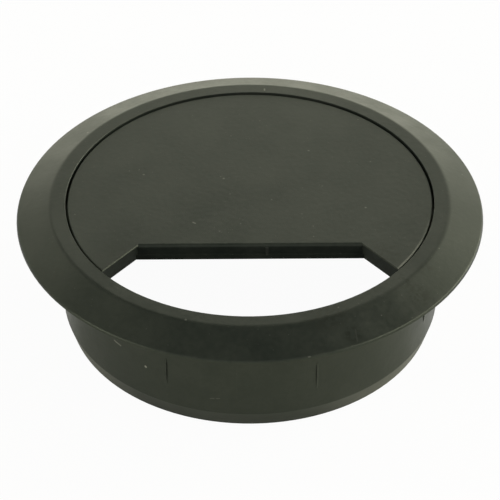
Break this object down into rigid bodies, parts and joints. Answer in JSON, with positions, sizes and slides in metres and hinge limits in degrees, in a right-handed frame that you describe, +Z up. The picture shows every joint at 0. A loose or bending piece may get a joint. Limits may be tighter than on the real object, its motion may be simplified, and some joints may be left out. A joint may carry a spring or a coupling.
{
  "type": "desk cable grommet",
  "caption": "Round flanged ring that lines a desk hole, with a snap-in lid whose cut-out lets cables through and turns to face any way.",
  "frame": {"origin": "on the sleeve's axis, in the plane of the flange's underside, which is the desk surface", "axes": "+Z up along the sleeve's axis, out of the desk; -Y towards the lid's cable cut-out; +X to the right seen from the cut-out side"},
  "size_m": [0.073, 0.073, 0.0211],
  "materials": {
    "black_plastic": "fine moulded satin, faintly scuffed and dusty"
  },
  "bodies": {
    "ring": {"ring": "black_plastic"},
    "lid": {"lid": "black_plastic"}
  },
  "joints": [
    {"name": "lid_turn", "type": "hinge", "parent": "ring", "child": "lid", "pos_m": [0, 0, 0], "axis": [0, 0, 1], "continuous": true}
  ]
}
